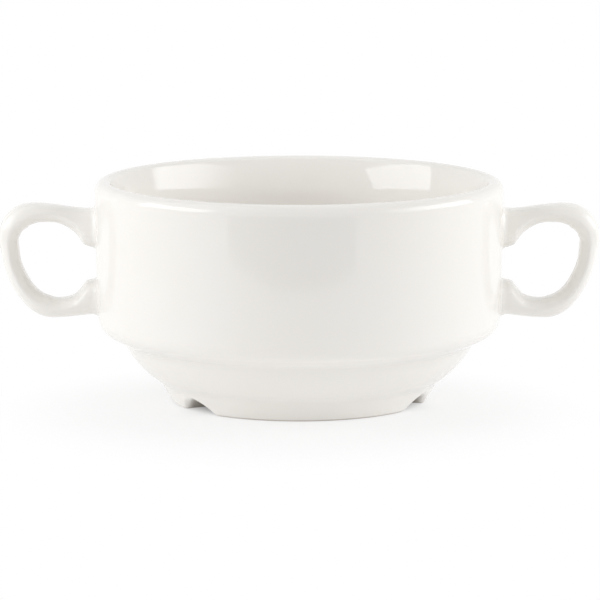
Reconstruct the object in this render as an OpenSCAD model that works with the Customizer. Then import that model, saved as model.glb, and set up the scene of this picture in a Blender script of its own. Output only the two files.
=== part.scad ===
// Stacking soup bowl with two loop handles (lugs), in white glazed porcelain.
// Millimetres, +Z up. The origin is the centre of the foot's standing face, and the handles lie along X.
// The body is turned to one profile, the foot ring stands under it, and each handle is stuck to the
// wall at two roots with a layer of slip, which is squeezed out and sponged to a small hollow fillet.

/* [Bowl] */
// Outer diameter at the rim
rim_d = 112; // [104:1:120]
// Height from the standing face to the top of the rim
bowl_h = 60.9; // [58:0.1:68]
// Thickness of the wall below the flare of its rim
wall_t = 6.9; // [6.2:0.1:7.4]
// Radius of the lip's outer edge, which ends at the top of the rim
lip_round = 2.9; // [2.4:0.1:3.4]
// How far the wall has drawn in at its waist
waist_inset = 0.5; // [0:0.1:1.2]
// Height of the waist, where the wall begins to turn in
waist_h = 29.5; // [27:0.5:34]
// Thickness of the base inside the foot ring
base_t = 4.3; // [3.8:0.1:5.6]

/* [Shoulder and stacking step] */
// How far the wall has drawn in at the shoulder
shoulder_inset = 1; // [0.6:0.1:1.8]
// Height of the shoulder corner
shoulder_h = 20.3; // [19.8:0.1:21.5]
// Radius of the rounded shoulder
shoulder_round = 5; // [3:0.5:6]
// Height of the stacking step
step_h = 16.8; // [16:0.1:17.5]
// Gap between the stacking step and the upright inside wall of the bowl below it in a stack
stack_gap = 0.8; // [0.5:0.1:1.6]
// Radius of the hollow corner under the step
step_round = 2.4; // [1:0.1:3]

/* [Inside] */
// Radius of the lip's inner edge
lip_inner_round = 1.7; // [1.2:0.1:2.2]
// How far the flare of the rim leans out from upright where it meets the lip, in degrees
flare_tilt = 24; // [18:1:30]
// Width of the inside curve between wall and floor
inside_curve_w = 29; // [26:1:34]
// Height of the inside curve between wall and floor
inside_curve_h = 24; // [22:0.5:26]

/* [Foot] */
// Inner diameter of the standing face, before its edge is rounded
foot_inner_d = 57; // [54:0.2:60]
// Width of the foot ring at the floor, before its edges are rounded
foot_ring_w = 6.4; // [5.4:0.1:7]
// Height of the foot ring, which is the depth of the recess under the base
foot_h = 4.4; // [4.2:0.1:4.6]
// Height of the neck, where the lower wall meets the foot
neck_h = 5.8; // [5.7:0.1:6.6]
// How far the foot's side leans out from the floor to the neck
foot_lean = 3.5; // [3:0.1:4.2]
// Radius of the hollow at the neck
neck_round = 5; // [2:0.5:5.5]
// Radius of the lower wall's full curve between the step and the neck
lower_wall_round = 26.7; // [20:0.1:40]
// Radius of the foot's outer edge
foot_edge_round = 1.5; // [1:0.1:2.4]
// Radius of the foot's inner edge
foot_inner_round = 1.2; // [0.6:0.1:1.6]
// How far the foot's inner side leans in from the floor to the recess
foot_inner_lean = 1.2; // [0.4:0.1:2]
// How much the recess rises to the middle of the base
recess_rise = 0.6; // [0.2:0.1:1]
// Width of a drain notch across the standing face
notch_w = 13.5; // [12:0.5:20]
// Height of a drain notch
notch_h = 3.9; // [2.5:0.1:4]

/* [Handles] */
// How far the loop stands out from its slip joints
loop_reach = 25.2; // [20:0.2:32]
// How far the loop's highest point lies below the rim
loop_drop = 6.55; // [4:0.05:8]
// How far the loop's lowest point lies above the shoulder corner
loop_rise = 2.6; // [2:0.05:5]
// Thickness of the strap where it is thinnest
strap_t = 4.7; // [4:0.1:6]
// Height of the bare wall between a handle's two roots
root_gap = 8.3; // [5:0.1:10]
// Width of the strap where it is thinnest
strap_w = 10; // [8:0.5:12]
// Width of a root where it meets its slip joint
root_w = 13; // [10:0.5:15]
// Depth of the bevelled inner side of the strap
bevel_t = 2.3; // [1.5:0.1:2.8]

/* [Slip joints] */
// Thickness of the slip between the widest part of the wall and a root
slip_t = 1.2; // [0.8:0.1:2]
// How far the slip spreads beyond a root on the wall
slip_spread = 0.9; // [0.4:0.1:1.4]

/* [Hidden] */
$fn = 144;
glaze_white = [0.93, 0.92, 0.89];
bisque_white = [0.88, 0.85, 0.79];
// How far a blank runs past the surface that cuts it
overrun = 3;

// Facets in a small rounding, in a long curve and in the inside curve
round_steps = 6;
curve_steps = 14;
inside_steps = 22;
// Points of the lower wall's curve that the two hollow roundings at its ends take up
step_cut = 2;
neck_cut = 2;

rim_r = rim_d / 2;
foot_inner_r = foot_inner_d / 2;
foot_r = foot_inner_r + foot_ring_w;
floor_z = foot_h + base_t;
lip_z = bowl_h - lip_round;
inside_r = rim_r - wall_t;
// The step goes down inside the bowl below, so it follows the inside of its wall
step_r = inside_r - stack_gap;
neck_r = foot_r + foot_lean;
// The foot's side where the flat joint between base and ring crosses it
ring_top_r = foot_r + foot_lean * foot_h / neck_h;
recess_r = foot_inner_r - foot_inner_lean;

// Angles of the three drain notches about +Z from +X, as they lie on the real foot
notch_angles = [97, 219, 335];
// The power by which a notch's arch falls to its sides, where 2 is a parabola and more is squarer
notch_fall = 1.5;
notch_steps = 10;

// Stations round the loop from the upper root over the crest to the lower root. Each is the place on
// the outer outline as a share of loop_reach and of loop_h, and the swell as a share between
// the thinnest strap and the full root.
loop_shares = [
    [0, 0.955, 1], [0.055, 0.955, 0.86], [0.15, 0.96, 0.31], [0.31, 0.977, 0.02], [0.48, 0.994, 0.05],
    [0.625, 1, 0.16], [0.77, 0.98, 0.29], [0.89, 0.915, 0.28], [0.97, 0.82, 0.24], [1, 0.705, 0.18],
    [0.975, 0.585, 0.06], [0.935, 0.445, 0], [0.868, 0.303, 0.02], [0.768, 0.17, 0.04],
    [0.64, 0.063, 0.12], [0.49, 0.005, 0.16], [0.32, 0, 0.09], [0.15, 0.012, 0.21], [0, 0.025, 0.81]];
last_station = len(loop_shares) - 1;
// The loop fills the wall between the shoulder and the rim, and its roots fill it up to their gap
loop_z = shoulder_h + loop_rise;
loop_h = bowl_h - loop_drop - loop_z;
root_t = (loop_h * (loop_shares[0][1] - loop_shares[last_station][1]) - root_gap) / 2;
// Corners of the strap's section, each as a share of the crown's depth, of the bevel's depth
// and of the half width. The crown is the outer, domed side and the bevel the inner one.
section_shares = [
    [0, 0, 0.5], [0.6, 0, 1], [1, 0, 1], [1, 1, 0.5],
    [1, 1, -0.5], [1, 0, -1], [0.6, 0, -1], [0, 0, -0.5]];
// Rings between two stations, points on each corner of the section, and rings in a slip fillet
span_steps = 3;
corner_steps = 2;
fillet_steps = 4;
// The plane where both roots end and the slip begins
root_x = rim_r + slip_t;

function unit(v) = v / norm(v);

// Points of an arc about a centre, from one angle through a turn
function arc(centre, r, from, turn, steps) =
    [for (i = [0:steps]) centre + r * [cos(from + turn * i / steps), sin(from + turn * i / steps)]];

// The shorter turn from one direction to another
function turn_between(a, b) =
    let (t = atan2(b.y, b.x) - atan2(a.y, a.x))
    t > 180 ? t - 360 : t < -180 ? t + 360 : t;

// The corner at b, between a and c, rounded to radius r
function rounded(a, b, c, r, steps) =
    let (p = unit(a - b), q = unit(c - b), half = acos(p * q) / 2,
        centre = b + unit(p + q) * r / sin(half),
        start = b + p * r / tan(half) - centre, end = b + q * r / tan(half) - centre)
    arc(centre, r, atan2(start.y, start.x), turn_between(start, end), steps);

// An arc of radius r from a to b, full on the side away from the axis
function bulge(a, b, r, steps) =
    let (along = unit(b - a), half = norm(b - a) / 2,
        centre = (a + b) / 2 + [along.y, -along.x] * sqrt(r * r - half * half))
    arc(centre, r, atan2((a - centre).y, (a - centre).x), turn_between(a - centre, b - centre), steps);

function part_of(list, from, to) = [for (i = [from:to]) list[i]];

step_point = [step_r, step_h];
neck_point = [neck_r, neck_h];
shoulder_point = [rim_r - shoulder_inset, shoulder_h];
waist_point = [rim_r - waist_inset, waist_h];
lower_wall = bulge(step_point, neck_point, lower_wall_round, curve_steps);

// The outside of the body, from the rim's widest point down to the flat joint with the foot ring
outside_points = concat(
    [[rim_r, lip_z], waist_point],
    rounded(waist_point, shoulder_point, step_point, shoulder_round, round_steps),
    rounded(shoulder_point, step_point, lower_wall[step_cut], step_round, round_steps),
    part_of(lower_wall, step_cut + 1, curve_steps - neck_cut - 1),
    rounded(lower_wall[curve_steps - neck_cut], neck_point, [foot_r, 0], neck_round, round_steps),
    [[ring_top_r, foot_h]]);

// The rim, from its widest point over the lip and down its flare to the upright inside wall. The flare
// is an arc that leaves the lip's inner edge without a corner and ends upright.
lip_outer = arc([rim_r - lip_round, lip_z], lip_round, 0, 90, curve_steps);
lip_inner = arc([rim_r - lip_round, bowl_h - lip_inner_round], lip_inner_round,
    90, 90 - flare_tilt, round_steps);
flare_start = lip_inner[round_steps];
flare_r = (flare_start.x - inside_r) / (1 - cos(flare_tilt));
flare_points = arc(flare_start + flare_r * [cos(flare_tilt), -sin(flare_tilt)], flare_r,
    180 - flare_tilt, flare_tilt, curve_steps);
rim_points = concat(lip_outer, part_of(lip_inner, 1, round_steps), part_of(flare_points, 1, curve_steps));

// The arch of a notch, closed below the floor
notch_points = concat(
    [for (i = [-notch_steps:notch_steps])
        let (share = i / notch_steps)
        [share * notch_w / 2, notch_h * (1 - pow(abs(share), notch_fall))]],
    [[notch_w / 2, -overrun], [-notch_w / 2, -overrun]]);

// The inside, from the start of the curve down to the middle of the floor
inside_points = [for (i = [0:inside_steps])
    let (a = 90 * i / inside_steps)
    [inside_r - inside_curve_w + inside_curve_w * cos(a),
        floor_z + inside_curve_h - inside_curve_h * sin(a)]];

// The underside of the base, rising gently to the middle of the recess
recess_points = [for (i = [0:round_steps])
    let (share = i / round_steps)
    [recess_r * share, foot_h + recess_rise * (1 - share * share)]];

module bowl_body() {
    color(glaze_white)
        rotate_extrude()
            polygon(concat(
                [[0, floor_z]],
                [for (i = [inside_steps:-1:0]) inside_points[i]],
                [for (i = [len(rim_points) - 1:-1:0]) rim_points[i]],
                part_of(outside_points, 1, len(outside_points) - 1),
                [for (i = [round_steps:-1:0]) recess_points[i]]));
}

// The body's outside as a solid block, which trims the slip to the wall
module wall_block() {
    rotate_extrude()
        polygon(concat([[0, bowl_h]], [[rim_r, bowl_h]], outside_points, [[0, foot_h]]));
}

module foot_ring() {
    color(bisque_white)
        difference() {
            rotate_extrude()
                polygon(concat(
                    [[recess_r, foot_h], [ring_top_r, foot_h]],
                    rounded([ring_top_r, foot_h], [foot_r, 0], [foot_inner_r, 0],
                        foot_edge_round, round_steps),
                    rounded([foot_r, 0], [foot_inner_r, 0], [recess_r, foot_h],
                        foot_inner_round, round_steps)));
            for (a = notch_angles)
                rotate([90, 0, a + 90])
                    linear_extrude(neck_r + overrun)
                        polygon(notch_points);
        }
}

// A quadratic curve that rounds the corner b between the middles of the sides a-b and b-c
function corner_point(a, b, c, t) =
    (1 - t) * (1 - t) * (a + b) / 2 + 2 * t * (1 - t) * b + t * t * (b + c) / 2;

// The strap's section as [depth from the outer outline, place across], for a thickness, a width,
// a bevel and an even growth on all sides
function section(t, w, grow) =
    let (n = len(section_shares),
        corners = [for (s = section_shares)
            [s[0] * (t - bevel_t + grow) + s[1] * (bevel_t + grow) - grow, s[2] * (w / 2 + grow)]])
    [for (i = [0:n - 1]) for (k = [0:corner_steps - 1])
        corner_point(corners[(i + n - 1) % n], corners[i], corners[(i + 1) % n], k / corner_steps)];

// A smooth curve through four neighbouring values, between the middle two
function between(a, b, c, d, t) =
    b + t * (c - a) / 2 + t * t * (a - 2.5 * b + 2 * c - d / 2) + t * t * t * (1.5 * (b - c) + (d - a) / 2);

function station(i) =
    i < 0 ? 2 * loop_shares[0] - loop_shares[1]
    : i > last_station ? 2 * loop_shares[last_station] - loop_shares[last_station - 1]
    : loop_shares[i];

// The loop's shares at a place s, counted in stations
function loop_at(s) =
    let (i = min(floor(s), last_station - 1), t = s - i)
    t == 0 ? station(i) : between(station(i - 1), station(i), station(i + 1), station(i + 2), t);

function outline_at(s) = [root_x + loop_reach * loop_at(s)[0], loop_z + loop_h * loop_at(s)[1]];

// The direction from the outer outline to the hole, square to the outline but upright at the roots
function inward_at(s) =
    s <= 0 ? [0, -1]
    : s >= last_station ? [0, 1]
    : let (along = unit(outline_at(s + slope_share) - outline_at(s - slope_share))) [along.y, -along.x];
slope_share = 0.05;

function swell_at(s, thin, full) = thin + max(loop_at(s)[2], 0) * (full - thin);

// One ring of the strap, as points in space
function strap_ring(s) =
    let (edge = outline_at(s), inward = inward_at(s))
    [for (p = section(swell_at(s, strap_t, root_t), swell_at(s, strap_w, root_w), 0))
        [edge.x + inward.x * p.x, -p.y, edge.y + inward.y * p.x]];

// One ring of a slip joint at a root, grown on all sides and set at a distance towards the wall
function slip_ring(s, towards_wall, grow) =
    let (edge = outline_at(s), inward = inward_at(s))
    [for (p = section(swell_at(s, strap_t, root_t), swell_at(s, strap_w, root_w), grow))
        [root_x - towards_wall, -inward.y * p.y, edge.y + inward.y * p.x]];

// A closed skin over rings of points, all with the same count
module skin(rings) {
    n = len(rings[0]);
    last = len(rings) - 1;
    polyhedron(
        points = [for (ring = rings) for (p = ring) p],
        faces = concat(
            [[for (k = [0:n - 1]) k]],
            [for (r = [0:last - 1]) for (k = [0:n - 1])
                [r * n + k, (r + 1) * n + k, (r + 1) * n + (k + 1) % n]],
            [for (r = [0:last - 1]) for (k = [0:n - 1])
                [r * n + k, (r + 1) * n + (k + 1) % n, r * n + (k + 1) % n]],
            [[for (k = [n - 1:-1:0]) last * n + k]]));
}

module handle() {
    color(glaze_white)
        skin([for (i = [0:last_station * span_steps]) strap_ring(i / span_steps)]);
}

// The slip under one root: a hollow fillet from the root's outline to a wider one on the wall
module slip(s) {
    color(glaze_white)
        difference() {
            skin(concat(
                [for (i = [0:fillet_steps])
                    let (share = i / fillet_steps)
                    slip_ring(s, slip_t * share, slip_spread * (1 - sqrt(1 - share * share)))],
                [slip_ring(s, slip_t + overrun, slip_spread)]));
            wall_block();
        }
}

module right_handle() {
    handle();
}

module left_handle() {
    mirror([1, 0, 0])
        handle();
}

module right_upper_slip() {
    slip(0);
}

module right_lower_slip() {
    slip(last_station);
}

module left_upper_slip() {
    mirror([1, 0, 0])
        slip(0);
}

module left_lower_slip() {
    mirror([1, 0, 0])
        slip(last_station);
}

bowl_body();
foot_ring();
left_handle();
right_handle();
left_upper_slip();
left_lower_slip();
right_upper_slip();
right_lower_slip();
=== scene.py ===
"""A white glazed stacking soup bowl with two loop handles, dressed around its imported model."""

import math

import bpy
import numpy as np
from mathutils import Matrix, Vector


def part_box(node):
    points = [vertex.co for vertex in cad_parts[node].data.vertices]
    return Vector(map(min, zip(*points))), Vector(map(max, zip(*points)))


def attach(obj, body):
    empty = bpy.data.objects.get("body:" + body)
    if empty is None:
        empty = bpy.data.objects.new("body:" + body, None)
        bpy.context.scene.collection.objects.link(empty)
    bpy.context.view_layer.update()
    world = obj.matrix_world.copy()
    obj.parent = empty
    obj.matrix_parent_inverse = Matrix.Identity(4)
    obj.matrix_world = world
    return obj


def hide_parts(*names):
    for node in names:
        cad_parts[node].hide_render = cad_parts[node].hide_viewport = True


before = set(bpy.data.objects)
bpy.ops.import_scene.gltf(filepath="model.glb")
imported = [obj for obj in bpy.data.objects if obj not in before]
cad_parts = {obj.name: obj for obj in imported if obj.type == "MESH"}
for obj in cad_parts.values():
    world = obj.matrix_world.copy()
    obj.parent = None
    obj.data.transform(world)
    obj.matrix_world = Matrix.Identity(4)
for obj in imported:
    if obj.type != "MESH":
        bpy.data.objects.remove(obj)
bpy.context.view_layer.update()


# Bowl body. Hard porcelain, formed to one profile on a turning head: rim, upright wall, rounded
# shoulder, stacking step, lower wall and base. It is dipped in clear glaze and fired, so its corners
# are all softened by the glaze that ran over them.
mm = 0.001
rim_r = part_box("bowl_body")[1][0]
bowl_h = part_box("bowl_body")[1][2]
joint_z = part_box("foot_ring")[1][2]
joint_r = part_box("foot_ring")[1][0]
spin_steps = 400
sharp_angle = math.radians(38)

lip_round = 2.9 * mm
lip_inner_round = 1.7 * mm
flare_tilt = math.radians(24)
wall_t = 6.9 * mm
curve_w = 29 * mm
curve_h = 24 * mm
floor_z = 8.7 * mm

waist = np.array([rim_r - 0.5 * mm, 29.5 * mm])
shoulder = np.array([rim_r - 1.0 * mm, 20.3 * mm])
step = np.array([48.3 * mm, 16.8 * mm])
neck = np.array([38.4 * mm, 5.8 * mm])
foot_edge = np.array([34.9 * mm, 0.0])
shoulder_round = 5 * mm
step_round = 2.4 * mm
neck_round = 5.5 * mm
lower_wall_round = 26.7 * mm
recess_r = 27.3 * mm
recess_rise = 0.6 * mm


def arc(centre, radius, start, turn, steps):
    """Points of an arc: the centre plus the radius times the cosine and sine of even angles."""
    angle = start + turn * np.linspace(0, 1, steps + 1)
    return np.array(centre) + radius * np.stack([np.cos(angle), np.sin(angle)], axis=1)


def turn_between(a, b):
    """The shorter turn from one direction to another."""
    turn = math.atan2(b[1], b[0]) - math.atan2(a[1], a[0])
    return (turn + math.pi) % (2 * math.pi) - math.pi


def rounded(before, corner, after, radius, steps=14):
    """A corner turned to an arc that touches both its sides. The centre lies on the corner's bisector,
    at the radius over the sine of half the corner's angle."""
    p = (before - corner) / np.linalg.norm(before - corner)
    q = (after - corner) / np.linalg.norm(after - corner)
    half = math.acos(p @ q) / 2
    centre = corner + (p + q) / np.linalg.norm(p + q) * radius / math.sin(half)
    start = corner + p * radius / math.tan(half) - centre
    end = corner + q * radius / math.tan(half) - centre
    return arc(centre, radius, math.atan2(start[1], start[0]), turn_between(start, end), steps)


def bulged(start, end, radius, steps=40):
    """An arc of a given radius from start to end, full on the side away from the axis."""
    along = (end - start) / np.linalg.norm(end - start)
    half = np.linalg.norm(end - start) / 2
    centre = (start + end) / 2 + np.array([along[1], -along[0]]) * math.sqrt(radius**2 - half**2)
    a, b = start - centre, end - centre
    return arc(centre, radius, math.atan2(a[1], a[0]), turn_between(a, b), steps)


def resampled(profile, spacing):
    """The profile with extra points on its long straight runs, so that no step is over the spacing."""
    pieces = [profile[:1]]
    for a, b in zip(profile[:-1], profile[1:]):
        count = max(1, math.ceil(np.linalg.norm(b - a) / spacing))
        share = np.linspace(0, 1, count + 1)[1:, None]
        pieces.append(a + (b - a) * share)
    return np.concatenate(pieces)


def woven(name, grid, caps=None):
    """A closed mesh over a grid of points, rows by columns. The columns close on themselves. The first
    and last rows end in a fan to a cap point each, or join each other where there are no caps."""
    rows, cols = grid.shape[:2]
    index = np.arange(rows * cols).reshape(rows, cols)
    if caps is None:
        index = np.vstack([index, index[:1]])
    here, beside = index[:-1], np.roll(index[:-1], -1, axis=1)
    above, across = index[1:], np.roll(index[1:], -1, axis=1)
    quads = np.stack([here, beside, across, above], axis=-1).reshape(-1, 4)
    points = grid.reshape(-1, 3)
    fans = np.zeros((0, 3), int)
    if caps is not None:
        points = np.vstack([points, caps])
        first, last = rows * cols, rows * cols + 1
        low, high = index[0], index[-1]
        fans = np.vstack([
            np.stack([np.full(cols, first), np.roll(low, -1), low], axis=1),
            np.stack([np.full(cols, last), high, np.roll(high, -1)], axis=1)])
    tris = np.vstack([quads[:, [0, 1, 2]], quads[:, [0, 2, 3]], fans])
    corners = points[tris]
    inside_out = np.einsum("ij,ij->", corners[:, 0], np.cross(corners[:, 1], corners[:, 2])) < 0
    if inside_out:
        quads, fans = quads[:, ::-1], fans[:, ::-1]
    mesh = bpy.data.meshes.new(name)
    mesh.from_pydata(points, [], quads.tolist() + fans.tolist())
    mesh.shade_smooth()
    mesh.set_sharp_from_angle(angle=sharp_angle)
    piece = bpy.data.objects.new(name, mesh)
    bpy.context.scene.collection.objects.link(piece)
    return piece


def turned(profile, steps=spin_steps):
    """A profile of radius and height turned about Z: x is r cos a, y is r sin a, z is the height."""
    angle = np.linspace(0, 2 * np.pi, steps, endpoint=False)
    radius, height = profile[:, 0, None], profile[:, 1, None]
    return np.stack([radius * np.cos(angle), radius * np.sin(angle), height + 0 * angle], axis=-1)


# Points of the lower wall's curve that the hollow roundings at its two ends take up
step_cut, neck_cut = 6, 7
lower_wall = bulged(step, neck, lower_wall_round)
outside = np.vstack([
    arc([rim_r - lip_round, bowl_h - lip_round], lip_round, math.pi / 2, -math.pi / 2, 20),
    waist[None],
    rounded(waist, shoulder, step, shoulder_round),
    rounded(shoulder, step, lower_wall[step_cut], step_round),
    lower_wall[step_cut + 1:-neck_cut - 1],
    rounded(lower_wall[-neck_cut - 1], neck, foot_edge, neck_round),
    [[joint_r, joint_z]]])

# The inside of the rim falls away in a small round and then a wide one, which meets the upright wall
lip_inner = arc([rim_r - lip_round, bowl_h - lip_inner_round], lip_inner_round,
                math.pi / 2, math.pi / 2 - flare_tilt, 12)
inside_r = rim_r - wall_t
flare_round = (lip_inner[-1][0] - inside_r) / (1 - math.cos(flare_tilt))
flare_way = np.array([-math.cos(flare_tilt), math.sin(flare_tilt)])
flare = arc(lip_inner[-1] - flare_round * flare_way, flare_round, math.pi - flare_tilt, flare_tilt, 30)
quarter = np.linspace(0, np.pi / 2, 36)
inside_curve = np.stack([inside_r - curve_w + curve_w * np.cos(quarter),
                         floor_z + curve_h - curve_h * np.sin(quarter)], axis=1)
recess = np.linspace(1, 0.02, 12)
underside = np.stack([recess_r * recess, joint_z + recess_rise * (1 - recess**2)], axis=1)

profile = np.vstack([
    np.stack([inside_curve[-1][0] * np.linspace(0.02, 0.98, 8), np.full(8, floor_z)], axis=1),
    inside_curve[::-1], flare[::-1], lip_inner[::-1][1:], outside[1:], underside])
bowl_body = woven("glazed_bowl", turned(resampled(profile, 1.6 * mm)),
                  caps=np.array([[0, 0, floor_z], [0, 0, joint_z + recess_rise]]))


def glaze(name, colour, deep_colour, roughness=0.06):
    """Clear glaze over white porcelain: a smooth coat over a colour that drifts a little over a few
    centimetres."""
    material = bpy.data.materials.new(name)
    material.use_nodes = True
    nodes, links = material.node_tree.nodes, material.node_tree.links
    shader = nodes["Principled BSDF"]
    shader.inputs["Roughness"].default_value = roughness
    shader.inputs["IOR"].default_value = 1.5
    place = nodes.new("ShaderNodeTexCoord")
    drift = nodes.new("ShaderNodeTexNoise")
    drift.inputs["Scale"].default_value = 28
    drift.inputs["Detail"].default_value = 2
    tint = nodes.new("ShaderNodeValToRGB")
    tint.color_ramp.elements[0].position = 0.35
    tint.color_ramp.elements[0].color = (*deep_colour, 1)
    tint.color_ramp.elements[1].position = 0.65
    tint.color_ramp.elements[1].color = (*colour, 1)
    links.new(place.outputs["Object"], drift.inputs["Vector"])
    links.new(drift.outputs["Fac"], tint.inputs["Fac"])
    links.new(tint.outputs["Color"], shader.inputs["Base Color"])
    return material


white_tone, deep_tone = (0.89, 0.87, 0.835), (0.885, 0.862, 0.822)
body_glaze = glaze("body_glaze", white_tone, deep_tone)
bowl_body.data.materials.append(body_glaze)
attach(bowl_body, "root")
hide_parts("bowl_body")


# Foot ring. It is formed with the base, and stands on a narrow face that is wiped bare of glaze before
# firing, so it doesn't stick to the kiln shelf. Three scooped notches let water drain in the rack.
foot_r = foot_edge[0]
foot_inner_r = 28.5 * mm
foot_outer_round = 1.5 * mm
foot_inner_round = 1.2 * mm
notch_edge_round = 2.4 * mm
notch_w = 13.5 * mm
notch_h = 4 * mm
notch_angles = np.radians([97, 219, 335])
# The power by which a notch's arch falls to its sides, and the height over which it eases into the face
notch_fall = 1.5
notch_soften = 0.3 * mm
# Heights over which the bare face turns to glaze, and depths behind the outer face over which painted
# shade darkens the notches and the ring's inner side, fully at the deeper one
bare_low, bare_high = 0.2 * mm, 0.5 * mm
shade_deep, shade_near = 2.8 * mm, 0.3 * mm
ring_steps = 720


def eased_corner(before, corner, after, steps):
    """The offsets from a corner to the points of its rounding of radius one."""
    return rounded(before - corner, 0 * corner, after - corner, 1, steps)


ring_side = np.array([joint_r, joint_z])
ring_back = np.array([recess_r, joint_z])
foot_corner, inner_corner = np.array([foot_r, 0.0]), np.array([foot_inner_r, 0.0])
angle = np.linspace(0, 2 * np.pi, ring_steps, endpoint=False)
apart = (angle[:, None] - notch_angles + np.pi) % (2 * np.pi) - np.pi
across = foot_r * np.sin(np.clip(apart, -np.pi / 2, np.pi / 2))
scoop = notch_h * (1 - (2 * np.abs(across) / notch_w)**notch_fall)
lift = (scoop.max(axis=1) + np.sqrt(scoop.max(axis=1)**2 + notch_soften**2)) / 2
lift = lift - lift.min()
edge_share = np.sin(np.pi * np.clip(lift / notch_h, 0, 1))[:, None, None]
share = lift[:, None, None] / joint_z
outer = foot_corner + (ring_side - foot_corner) * share
inner = inner_corner + (ring_back - inner_corner) * share
outer_round = foot_outer_round + (notch_edge_round - foot_outer_round) * edge_share
outer_points = outer + outer_round * eased_corner(ring_side, foot_corner, inner_corner, 10)[None]
inner_points = inner + foot_inner_round * eased_corner(foot_corner, inner_corner, ring_back, 8)[None]


def run(a, b, steps):
    """Even points between two rows of points, without the ends."""
    part = np.linspace(0, 1, steps + 2)[1:-1, None]
    return a[:, None] + (b - a)[:, None] * part


top = np.broadcast_to(ring_side, (ring_steps, 2))
back = np.broadcast_to(ring_back, (ring_steps, 2))
ring_profile = np.concatenate([
    top[:, None], run(top, outer_points[:, 0], 3), outer_points,
    run(outer_points[:, -1], inner_points[:, 0], 6), inner_points,
    run(inner_points[:, -1], back, 3), back[:, None]], axis=1)
ring_grid = np.stack([
    ring_profile[..., 0] * np.cos(angle)[:, None], ring_profile[..., 0] * np.sin(angle)[:, None],
    ring_profile[..., 1]], axis=-1).transpose(1, 0, 2)
foot_ring = woven("notched_foot", ring_grid)


def wiped_and_shaded_glaze(name, colour, deep_colour, bare_and_shade_colour, painted_shade_colour):
    """The glaze, with a bare band below a height above the floor, matt and warmer, and darkened as
    painted shade where the foot meets the floor. In from the outer face, by its radius less the face's
    lean times the height, the notches and the ring's inner side are darker, as painted shade."""
    material = glaze(name, colour, deep_colour)
    nodes, links = material.node_tree.nodes, material.node_tree.links
    shader, tint = nodes["Principled BSDF"], nodes["Color Ramp"]
    place = nodes["Texture Coordinate"]
    split = nodes.new("ShaderNodeSeparateXYZ")
    wipe = nodes.new("ShaderNodeMapRange")
    wipe.inputs["From Min"].default_value = bare_low
    wipe.inputs["From Max"].default_value = bare_high
    mix = nodes.new("ShaderNodeMix")
    mix.data_type = "RGBA"
    # Bare body, darkened as painted shade along the foot's contact with the floor
    mix.inputs["A"].default_value = (*bare_and_shade_colour, 1)
    rough = nodes.new("ShaderNodeMapRange")
    rough.inputs["To Min"].default_value = 0.6
    rough.inputs["To Max"].default_value = 0.06
    flat = nodes.new("ShaderNodeCombineXYZ")
    radius = nodes.new("ShaderNodeVectorMath")
    radius.operation = "LENGTH"
    from_face = nodes.new("ShaderNodeMath")
    from_face.operation = "MULTIPLY_ADD"
    from_face.inputs[1].default_value = (neck[0] - foot_r) / -neck[1]
    # Painted shade: the ring darkens the further it lies in from its outer face
    depth_shade = nodes.new("ShaderNodeMapRange")
    depth_shade.interpolation_type = "SMOOTHSTEP"
    depth_shade.inputs["From Min"].default_value = foot_r - shade_deep
    depth_shade.inputs["From Max"].default_value = foot_r - shade_near
    painted_shade_mix = nodes.new("ShaderNodeMix")
    painted_shade_mix.data_type = "RGBA"
    painted_shade_mix.inputs["A"].default_value = (*painted_shade_colour, 1)
    links.new(place.outputs["Object"], split.inputs["Vector"])
    links.new(split.outputs["X"], flat.inputs["X"])
    links.new(split.outputs["Y"], flat.inputs["Y"])
    links.new(flat.outputs["Vector"], radius.inputs[0])
    links.new(split.outputs["Z"], from_face.inputs[0])
    links.new(radius.outputs["Value"], from_face.inputs[2])
    links.new(from_face.outputs["Value"], depth_shade.inputs["Value"])
    links.new(depth_shade.outputs["Result"], painted_shade_mix.inputs["Factor"])
    links.new(tint.outputs["Color"], painted_shade_mix.inputs["B"])
    links.new(split.outputs["Z"], wipe.inputs["Value"])
    links.new(wipe.outputs["Result"], mix.inputs["Factor"])
    links.new(painted_shade_mix.outputs["Result"], mix.inputs["B"])
    links.new(mix.outputs["Result"], shader.inputs["Base Color"])
    links.new(wipe.outputs["Result"], rough.inputs["Value"])
    links.new(rough.outputs["Result"], shader.inputs["Roughness"])
    return material


# Bare body darkened by painted contact shade, and painted shade for the notches and the ring's inner
# side
bare_and_shade_tone, notch_shade_tone = (0.55, 0.49, 0.42), (0.4, 0.36, 0.31)
foot_glaze = wiped_and_shaded_glaze("foot_glaze", white_tone, deep_tone, bare_and_shade_tone, notch_shade_tone)
foot_ring.data.materials.append(foot_glaze)
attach(foot_ring, "root")
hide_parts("foot_ring")


# Loop handles. Each is cast in a two-part mould, with a domed outer side and a bevelled inner side that
# meet in a soft ridge, and its two roots swell where they meet the wall. They mirror each other.
strap_t, root_t = 4.7 * mm, 10.47 * mm
strap_w, root_w = 10 * mm, 13 * mm
bevel_t = 2.3 * mm
handle_low, handle_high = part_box("right_handle")
root_x = handle_low[0]
loop_reach = handle_high[0] - root_x
# Stations round the loop from the upper root to the lower one: the outer outline as shares of the
# reach and of the height, and the swell between the thinnest strap and the full root
loop_shares = np.array([
    [0, 0.955, 1], [0.055, 0.955, 0.86], [0.15, 0.96, 0.31], [0.31, 0.977, 0.02], [0.48, 0.994, 0.05],
    [0.625, 1, 0.16], [0.77, 0.98, 0.29], [0.89, 0.915, 0.28], [0.97, 0.82, 0.24], [1, 0.705, 0.18],
    [0.975, 0.585, 0.06], [0.935, 0.445, 0], [0.868, 0.303, 0.02], [0.768, 0.17, 0.04],
    [0.64, 0.063, 0.12], [0.49, 0.005, 0.16], [0.32, 0, 0.09], [0.15, 0.012, 0.21], [0, 0.025, 0.81]])
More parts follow.
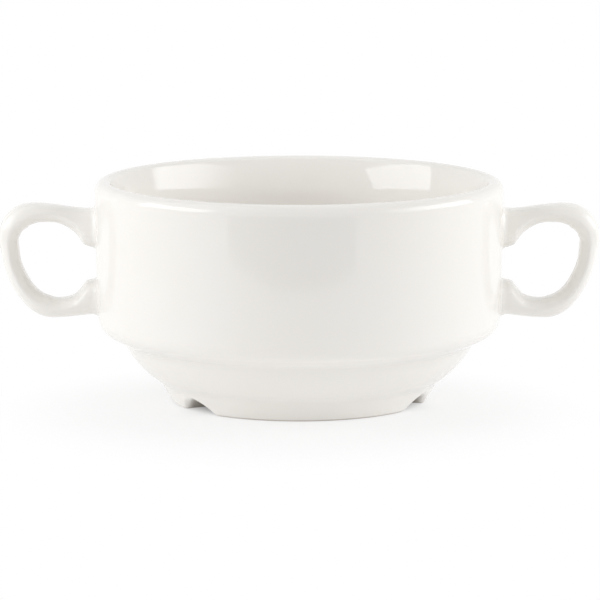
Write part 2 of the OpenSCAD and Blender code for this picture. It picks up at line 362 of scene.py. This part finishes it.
# Corners of the section as shares of the crown's depth, of the bevel's depth and of the half width
section_shares = np.array([
    [0, 0, 0.4], [0.22, 0, 0.8], [0.76, 0, 1], [0.95, 0, 1], [1, 0.12, 0.97], [1, 0.75, 0.74],
    [1, 1, 0.36], [1, 1, -0.36], [1, 0.75, -0.74], [1, 0.12, -0.97], [0.95, 0, -1], [0.76, 0, -1],
    [0.22, 0, -0.8], [0, 0, -0.4]])
span_steps = 20
corner_steps = 7


def smooth_run(stations, steps):
    """A curve through all the stations. Between two of them it is a cubic of their four neighbours, and
    the ends carry on in a straight line."""
    before, after = 2 * stations[:1] - stations[1:2], 2 * stations[-1:] - stations[-2:-1]
    padded = np.vstack([before, stations, after])
    at = np.linspace(0, len(stations) - 1, (len(stations) - 1) * steps + 1)
    i = np.minimum(at.astype(int), len(stations) - 2)
    t = (at - i)[:, None]
    a, b, c, d = padded[i], padded[i + 1], padded[i + 2], padded[i + 3]
    square, cube = a - 2.5 * b + 2 * c - d / 2, 1.5 * (b - c) + (d - a) / 2
    return b + t * (c - a) / 2 + t**2 * square + t**3 * cube


def softened(corners, steps):
    """Closed outlines of corners turned to quadratic curves that touch the middle of every side."""
    a, c = np.roll(corners, 1, axis=1), np.roll(corners, -1, axis=1)
    t = (np.arange(steps) / steps)[None, None, :, None]
    start, end = ((a + corners) / 2)[:, :, None], ((corners + c) / 2)[:, :, None]
    points = (1 - t)**2 * start + 2 * t * (1 - t) * corners[:, :, None] + t**2 * end
    return points.reshape(len(corners), -1, 2)


loop = smooth_run(loop_shares, span_steps)
low_share, high_share = loop[:, 1].min(), loop[:, 1].max()
edge = np.stack([root_x + loop_reach * loop[:, 0],
                 handle_low[2] + (handle_high[2] - handle_low[2]) * (loop[:, 1] - low_share)
                 / (high_share - low_share)], axis=1)
along = np.gradient(edge, axis=0)
along /= np.linalg.norm(along, axis=1, keepdims=True)
inward = np.stack([along[:, 1], -along[:, 0]], axis=1)
inward[0], inward[-1] = (0, -1), (0, 1)
swell = np.maximum(loop[:, 2], 0)
thick = strap_t + swell * (root_t - strap_t)
wide = strap_w + swell * (root_w - strap_w)
corners = np.stack([
    section_shares[:, 0] * (thick[:, None] - bevel_t) + section_shares[:, 1] * bevel_t,
    section_shares[:, 2] * wide[:, None] / 2], axis=-1)
section = softened(corners, corner_steps)
strap = np.stack([
    edge[:, None, 0] + inward[:, None, 0] * section[..., 0], -section[..., 1],
    edge[:, None, 1] + inward[:, None, 1] * section[..., 0]], axis=-1)

soft_gloss = 0.18
handle_glaze = glaze("handle_glaze", white_tone, deep_tone, roughness=soft_gloss)
for side, facing in (("left", -1), ("right", 1)):
    grid = strap * np.array([facing, 1, 1])
    handle = woven(side + "_loop_handle", grid, caps=grid[[0, -1]].mean(axis=1))
    handle.data.materials.append(handle_glaze)
    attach(handle, "root")
    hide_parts(side + "_handle")


# Slip joints. Each root is stuck on with liquid clay while the bowl is leather-hard. What squeezes out
# is sponged to a small hollow fillet, which the glaze softens further.
slip_spread = 1.0 * mm
# How far the fillet's edge is sunk in the wall, so that it closes on it
slip_sunk = 0.03 * mm
fillet_steps = 14


def wall_x(y, z):
    """How far out along X the wall lies: the square root of the outline's radius at that height,
    squared, less the place across, squared."""
    order = np.argsort(outside[:, 1])
    radius = np.interp(z, outside[order, 1], outside[order, 0])
    return np.sqrt(radius**2 - y**2)


def slip_grid(root):
    """Rows from the root's outline to the wall. Row by row the outline grows by the spread times one
    less the cosine, and goes in towards the wall by the sine, so each side is a hollow quarter round."""
    outline = root[:, 1:]
    tangent = np.roll(outline, -1, axis=0) - np.roll(outline, 1, axis=0)
    tangent /= np.linalg.norm(tangent, axis=1, keepdims=True)
    outward = np.stack([tangent[:, 1], -tangent[:, 0]], axis=1)
    if np.einsum("ij,ij->", outward, outline - outline.mean(axis=0)) < 0:
        outward = -outward
    turn = np.linspace(0, np.pi / 2, fillet_steps + 1)[:, None]
    grown = outline[None] + outward[None] * (slip_spread * (1 - np.cos(turn)))[..., None]
    wall = wall_x(grown[..., 0], grown[..., 1]) - slip_sunk
    x = root_x + (wall - root_x) * np.sin(turn)
    return np.concatenate([x[..., None], grown], axis=-1)


slip_glaze = glaze("slip_glaze", white_tone, deep_tone, roughness=soft_gloss)
for side, facing in (("left", -1), ("right", 1)):
    for place, root in (("upper", strap[0]), ("lower", strap[-1])):
        grid = slip_grid(root) * np.array([facing, 1, 1])
        slip = woven(side + "_" + place + "_fillet", grid, caps=grid[[0, -1]].mean(axis=1))
        slip.data.materials.append(slip_glaze)
        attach(slip, "root")
        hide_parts(side + "_" + place + "_slip")


# Studio. A white table that ends a hand's width in front of the bowl, a white surround, a wide soft
# box on each side and a faint one high on the left. A dark cloth hangs beyond the table's front edge.
scene = bpy.context.scene
scene.view_settings.view_transform = "Standard"
table_front = -0.256
table_far = 1.5
table_z = -0.02 * mm
# Where the table's glow starts under the foot, rising to the foot's edge as painted shadow under the
# base, where the bowl's shading is centred, and the distances from there over which the table turns to
# white
glow_start_r = foot_inner_r - 4 * mm
shading_centre = (-0.002, -0.02, 0)
shading_near, shading_far = 0.036, 0.085


def board(name, corners):
    """One flat face through four corners."""
    mesh = bpy.data.meshes.new(name)
    mesh.from_pydata(corners, [], [(0, 1, 2, 3)])
    piece = bpy.data.objects.new(name, mesh)
    scene.collection.objects.link(piece)
    return piece


def seen_or_lit(nodes, links, output, seen_shader, lit_shader):
    """The first shader for rays from the camera, a reflection or glass, and the second for the rest."""
    ray = nodes.new("ShaderNodeLightPath")
    camera_or_gloss = nodes.new("ShaderNodeMath")
    camera_or_gloss.operation = "MAXIMUM"
    any_seen = nodes.new("ShaderNodeMath")
    any_seen.operation = "MAXIMUM"
    pick = nodes.new("ShaderNodeMixShader")
    links.new(ray.outputs["Is Camera Ray"], camera_or_gloss.inputs[0])
    links.new(ray.outputs["Is Glossy Ray"], camera_or_gloss.inputs[1])
    links.new(camera_or_gloss.outputs["Value"], any_seen.inputs[0])
    links.new(ray.outputs["Is Transmission Ray"], any_seen.inputs[1])
    links.new(any_seen.outputs["Value"], pick.inputs["Fac"])
    links.new(lit_shader, pick.inputs[1])
    links.new(seen_shader, pick.inputs[2])
    links.new(pick.outputs["Shader"], output.inputs["Surface"])


def table_white():
    """A white, backlit table top. Seen from the camera it is partly its own shaded colour and partly
    glow, so that the bowl's soft shadow stays, and it turns to plain white away from the bowl."""
    material = bpy.data.materials.new("table_white")
    material.use_nodes = True
    nodes, links = material.node_tree.nodes, material.node_tree.links
    nodes.clear()
    output = nodes.new("ShaderNodeOutputMaterial")
    place = nodes.new("ShaderNodeTexCoord")
    distance = nodes.new("ShaderNodeVectorMath")
    distance.operation = "LENGTH"
    from_shadow = nodes.new("ShaderNodeVectorMath")
    from_shadow.operation = "DISTANCE"
    from_shadow.inputs[1].default_value = shading_centre
    away = nodes.new("ShaderNodeMapRange")
    away.interpolation_type = "SMOOTHSTEP"
    away.inputs["From Min"].default_value = shading_near
    away.inputs["From Max"].default_value = shading_far
    links.new(place.outputs["Object"], distance.inputs[0])
    links.new(place.outputs["Object"], from_shadow.inputs[0])
    links.new(from_shadow.outputs["Value"], away.inputs["Value"])

    def shaded_and_glowing(shade, glow_strength):
        """A diffuse surface of a grey shade plus a glow, which fades out under the foot as painted
        shadow.
        """
        both = nodes.new("ShaderNodeAddShader")
        shaded = nodes.new("ShaderNodeBsdfDiffuse")
        glow = nodes.new("ShaderNodeEmission")
        # Painted shadow: no glow under the base, full glow from the foot's edge out
        glow_outside_painted_shadow = nodes.new("ShaderNodeMapRange")
        glow_outside_painted_shadow.inputs["From Min"].default_value = glow_start_r
        glow_outside_painted_shadow.inputs["From Max"].default_value = foot_r
        glow_outside_painted_shadow.inputs["To Max"].default_value = glow_strength
        links.new(distance.outputs["Value"], glow_outside_painted_shadow.inputs["Value"])
        links.new(glow_outside_painted_shadow.outputs["Result"], glow.inputs["Strength"])
        shaded.inputs["Color"].default_value = (shade, shade, shade, 1)
        links.new(shaded.outputs["BSDF"], both.inputs[0])
        links.new(glow.outputs["Emission"], both.inputs[1])
        return both.outputs["Shader"]

    white = nodes.new("ShaderNodeEmission")
    near_or_far = nodes.new("ShaderNodeMixShader")
    links.new(away.outputs["Result"], near_or_far.inputs["Fac"])
    links.new(shaded_and_glowing(shade=0.3, glow_strength=0.66), near_or_far.inputs[1])
    links.new(white.outputs["Emission"], near_or_far.inputs[2])
    lit = shaded_and_glowing(shade=0.85, glow_strength=0.173)
    seen_or_lit(nodes, links, output, near_or_far.outputs["Shader"], lit)
    return material


table = board("table", [(-table_far, table_front, table_z), (table_far, table_front, table_z),
                        (table_far, table_far, table_z), (-table_far, table_far, table_z)])
table.data.materials.append(table_white())

world = bpy.data.worlds.new("white_surround")
scene.world = world
world.use_nodes = True
nodes, links = world.node_tree.nodes, world.node_tree.links
nodes.clear()
output = nodes.new("ShaderNodeOutputWorld")
fill = nodes.new("ShaderNodeBackground")
fill.inputs["Color"].default_value = (1, 0.99, 0.98, 1)
fill.inputs["Strength"].default_value = 0.578
white = nodes.new("ShaderNodeBackground")
white.inputs["Color"].default_value = (1, 1, 1, 1)
seen_or_lit(nodes, links, output, white.outputs["Background"], fill.outputs["Background"])

# The cloth shows only in the glaze, where it is the dark field in the middle of the bowl's front
cloth_y = -0.6
cloth_left, cloth_right = -0.475, 0.35
cloth_low, cloth_high = -0.6, -0.01
cloth = board("dark_cloth", [(cloth_left, cloth_y, cloth_low), (cloth_right, cloth_y, cloth_low),
                             (cloth_right, cloth_y, cloth_high), (cloth_left, cloth_y, cloth_high)])
cloth.visible_camera = False
cloth.visible_diffuse = False
cloth.visible_shadow = False
cloth_black = bpy.data.materials.new("cloth_black")
cloth_black.use_nodes = True
cloth_shader = cloth_black.node_tree.nodes["Principled BSDF"]
cloth_shader.inputs["Base Color"].default_value = (0.05, 0.05, 0.05, 1)
cloth.data.materials.append(cloth_black)


def soft_box(name, place, aim, size, strength, fade=()):
    """A lamp of a given radiance, which is its power over pi and its area, turned to face a point. A
    fade gives shares of its width, each with the share of the light there."""
    lamp = bpy.data.lights.new(name, "AREA")
    lamp.shape = "RECTANGLE"
    lamp.size, lamp.size_y = size
    lamp.energy = strength * math.pi * size[0] * size[1]
    lamp.color = (0.985, 1, 1.02)
    lamp.use_nodes = True
    nodes, links = lamp.node_tree.nodes, lamp.node_tree.links
    if fade:
        across = nodes.new("ShaderNodeNewGeometry")
        split = nodes.new("ShaderNodeSeparateXYZ")
        ramp = nodes.new("ShaderNodeValToRGB")
        ramp.color_ramp.interpolation = "EASE"
        stops = ramp.color_ramp.elements
        while len(stops) < len(fade):
            stops.new(1)
        for stop, (share, light) in zip(stops, fade):
            stop.position, stop.color = share, (light, light, light, 1)
        links.new(across.outputs["Parametric"], split.inputs["Vector"])
        links.new(split.outputs["X"], ramp.inputs["Fac"])
        links.new(ramp.outputs["Color"], nodes["Emission"].inputs["Strength"])
    box = bpy.data.objects.new(name, lamp)
    scene.collection.objects.link(box)
    way = np.array(aim) - np.array(place)
    box.location = place
    box.rotation_euler = (math.atan2(math.hypot(way[0], way[1]), -way[2]), 0,
                          math.atan2(way[1], way[0]) - math.pi / 2)
    return box


bowl_middle = (0, 0, 0.03)
soft_box("left_soft_box", (-0.519, -0.146, 0.265), bowl_middle, (0.497, 0.27), 2.89)
soft_box("right_soft_box", (0.493, -0.135, 0.265), bowl_middle, (0.79, 0.27), 3.32,
         fade=[(0.03, 0), (0.62, 1), (0.88, 1), (1, 0.5)])
soft_box("top_soft_box", (-0.45, -0.05, 0.65), bowl_middle, (0.6, 0.6), 0.53)

lens = bpy.data.cameras.new("view")
lens.lens = 240.2
lens.shift_x, lens.shift_y = 0.00133, -0.01267
camera = bpy.data.objects.new("view", lens)
camera.location = (0, -1.0867, 0.1999)
camera.rotation_euler = (math.radians(81.09), 0, 0)
scene.collection.objects.link(camera)
scene.camera = camera
